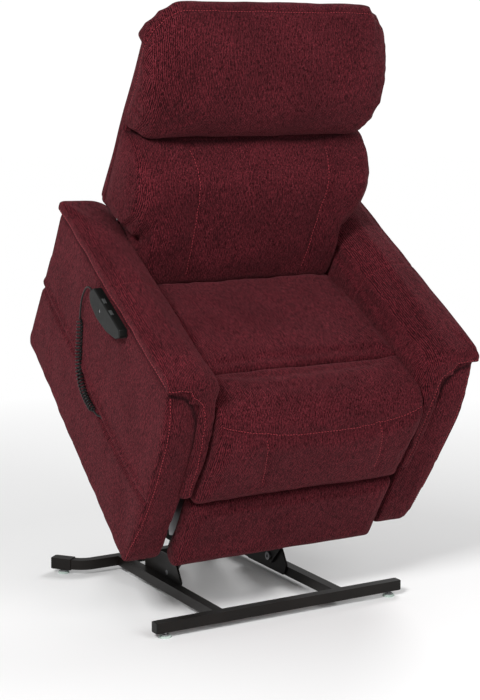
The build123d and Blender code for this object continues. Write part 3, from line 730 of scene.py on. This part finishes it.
def deck_flap():
    """Cloth behind the seat, which keeps the gap under the lumbar closed as the back reclines."""
    outline = [(450, 364), (600, 352), (600, 366), (450, 380)]
    flap = solid("seat_deck_flap", [(outline, -190, 190)], 6, 3)
    refine(flap)
    ripple(flap, 2.0, 70, (1, 1, 1), 3.3)
    place(flap, None, fill=0.2)
    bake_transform(flap, "chair", "back", start=at(0, 470, 372), end=at(0, 595, 360))


def shell():
    """Upholstered outside back."""
    low = [(622, 338), (640, 338), (640, 985), (622, 985)]
    high = [(608, 540), (642, 540), (642, 988), (608, 988)]
    rear = solid("outside_back", [(low, -246, 246), (high, -303, 303)], 7, 6)
    refine(rear)
    ripple(rear, 2.0, 110, (1, 1, 1), 4.9)
    place(rear, "back", ["back_shell"], 0.6)


for side_name, side_sign in SIDES:
    arm_panel(side_name, side_sign)
    arm_cap(side_name, side_sign)
seat()
waterfall()
board()
lumbar()
head()
deck_flap()
shell()


# ---- handset cord ----
LEAD = [(-0.400, -0.034, 0.766), (-0.400, -0.021, 0.772), (-0.400, -0.006, 0.7685), (-0.399, 0.008, 0.758),
        (-0.398, 0.020, 0.744), (-0.397, 0.030, 0.7275), (-0.3958, 0.037, 0.7105)]
COIL = [(-0.395, 0.041, 0.696), (-0.3944, 0.0445, 0.668), (-0.394, 0.049, 0.638), (-0.3936, 0.0555, 0.603),
        (-0.393, 0.056, 0.568), (-0.3924, 0.042, 0.535), (-0.392, 0.015, 0.508), (-0.3915, -0.019, 0.491)]
TAIL = [(-0.391, -0.0335, 0.4848), (-0.389, -0.0425, 0.4835), (-0.3862, -0.048, 0.4848)]
WIRE_R, HELIX_R, TURNS = 0.0020, 0.0065, 29
STEPS_PER_TURN, RAMP_TURNS = 14, 1.5


def nurbs(name, points, radius=0.0):
    """A smooth curve near points in metres, as a round wire where it has a radius."""
    data = bpy.data.curves.new(name, "CURVE")
    data.dimensions = "3D"
    spline = data.splines.new("NURBS")
    spline.points.add(len(points) - 1)
    for p, q in zip(spline.points, points):
        p.co = (*q, 1)
    spline.order_u = 3
    spline.use_endpoint_u = True
    spline.resolution_u = 10
    data.bevel_depth = radius
    data.bevel_resolution = 4
    obj = bpy.data.objects.new(name, data)
    scene.collection.objects.link(obj)
    return obj


def handset_cord():
    """The handset's cord: a lead, a coil wound round the middle of its route, and a tail."""
    route = nurbs("cord_route", LEAD + COIL + TAIL)
    graph = bpy.context.evaluated_depsgraph_get()
    line = bpy.data.meshes.new_from_object(route.evaluated_get(graph))
    p = [v.co.copy() for v in line.vertices]
    bpy.data.objects.remove(route)
    run = np.concatenate([[0], np.cumsum([(b - a).length for a, b in zip(p, p[1:])])])
    nearest = [min(range(len(p)), key=lambda i: (p[i] - Vector(q)).length) for q in (COIL[0], COIL[-1])]
    start, end = run[nearest[0]], run[nearest[1]]
    ahead_of = [(p[min(i + 1, len(p) - 1)] - p[max(i - 1, 0)]).normalized() for i in range(len(p))]

    def along(s):
        """The route's place and direction, s metres from its start."""
        i = int(np.clip(np.searchsorted(run, s) - 1, 0, len(p) - 2))
        t = (s - run[i]) / (run[i + 1] - run[i])
        return p[i].lerp(p[i + 1], t), ahead_of[i].lerp(ahead_of[i + 1], t).normalized()

    steps = STEPS_PER_TURN * TURNS
    points = [Vector(q) for q in LEAD]
    for k in range(steps + 1):
        t = k / steps
        here, ahead = along(start + t * (end - start))
        side = ahead.cross(Vector((1, 0, 0))).normalized()
        other = ahead.cross(side)
        ramp = min(1, t * TURNS / RAMP_TURNS, (1 - t) * TURNS / RAMP_TURNS)
        r = HELIX_R * ramp * ramp * (3 - 2 * ramp)
        turn = 2 * pi * TURNS * t
        points.append(here + (side * cos(turn) + other * sin(turn)) * r)
    points += [Vector(q) for q in TAIL]
    cord = nurbs("handset_cord", points, WIRE_R)
    cord.data.materials.append(JACKET)
    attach(cord, "chair")
    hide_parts("cord_lead", "cord_coil", "cord_tail")


handset_cord()


# ---- floor, light and camera ----
STAGE_SIDES = 96


def stage_mesh(name, radius, height):
    """A disc, or an open cylinder where it has a height, as a stage piece."""
    bm = bmesh.new()
    circle = [2 * pi * k / STAGE_SIDES for k in range(STAGE_SIDES)]
    rings = [[bm.verts.new((radius * cos(turn), radius * sin(turn), z)) for turn in circle]
             for z in ((0.0, height) if height else (0.0,))]
    if height:
        for k in range(STAGE_SIDES):
            bm.faces.new((rings[0][k - 1], rings[0][k], rings[1][k], rings[1][k - 1]))
    else:
        bm.faces.new(rings[0])
    mesh = bpy.data.meshes.new(name)
    bm.to_mesh(mesh)
    bm.free()
    obj = bpy.data.objects.new(name, mesh)
    scene.collection.objects.link(obj)
    return obj


def studio():
    """A pale floor that fades into a white surround, which lights nothing itself."""
    floor = stage_mesh("studio_floor", 20, 0)
    g = Graph("pale_floor")
    g.set(Base_Color=(0.9, 0.9, 0.9, 1), Roughness=0.8)
    far = g.node("ShaderNodeVectorMath", operation="LENGTH")
    g.put(far.inputs[0], g.node("ShaderNodeTexCoord").outputs["Object"])
    glow = g.node("ShaderNodeEmission")
    mix = g.node("ShaderNodeMixShader")
    g.put(mix.inputs[0], g.math("MULTIPLY", g.math("SUBTRACT", far.outputs["Value"], 0.9), 0.6, clamp=True))
    g.put(mix.inputs[1], g.shader.outputs[0])
    g.put(mix.inputs[2], glow.outputs[0])
    out = [n for n in g.tree.nodes if n.type == "OUTPUT_MATERIAL"][0]
    g.put(out.inputs[0], mix.outputs[0])
    floor.data.materials.append(g.material)

    surround = stage_mesh("studio_surround", 19.9, 16)
    white = Graph("white_surround")
    white.set(Base_Color=(0, 0, 0, 1), Emission_Color=(1, 1, 1, 1), Emission_Strength=1.0)
    surround.data.materials.append(white.material)
    for ray in ("diffuse", "glossy", "transmission", "shadow", "volume_scatter"):
        setattr(surround, f"visible_{ray}", False)


studio()

WORLD_STRENGTH = 0.36
world = bpy.data.worlds.new("studio")
world.use_nodes = True
world.node_tree.nodes["Background"].inputs[0].default_value = (1, 1, 1, 1)
world.node_tree.nodes["Background"].inputs[1].default_value = WORLD_STRENGTH
scene.world = world


def area_light(name, place_at, aim, size, power):
    data = bpy.data.lights.new(name, "AREA")
    data.shape, data.size, data.energy = "DISK", size, power
    lamp = bpy.data.objects.new(name, data)
    lamp.location = place_at
    lamp.rotation_euler = (Vector(aim) - Vector(place_at)).to_track_quat("-Z", "Y").to_euler()
    scene.collection.objects.link(lamp)


area_light("key", (-3.0, -2.4, 3.0), (0, 0, 0.7), 1.2, 175)
area_light("fill", (0.6, -4.0, 2.6), (0, 0, 0.7), 2.4, 70)
area_light("rim", (2.4, 1.6, 2.8), (0, 0, 0.9), 1.6, 50)

camera = bpy.data.cameras.new("camera")
camera.lens, camera.sensor_width, camera.sensor_fit = 87.57, 36.0, "AUTO"
camera.shift_x, camera.shift_y = -0.0079, -0.0571
camera.clip_end = 100
viewer = bpy.data.objects.new("camera", camera)
viewer.location = (-1.9484, -3.4174, 1.2553)
viewer.rotation_euler = (radians(90 - 8.2), 0, radians(-29.8))
scene.collection.objects.link(viewer)
scene.camera = viewer
scene.view_settings.view_transform = "Standard"
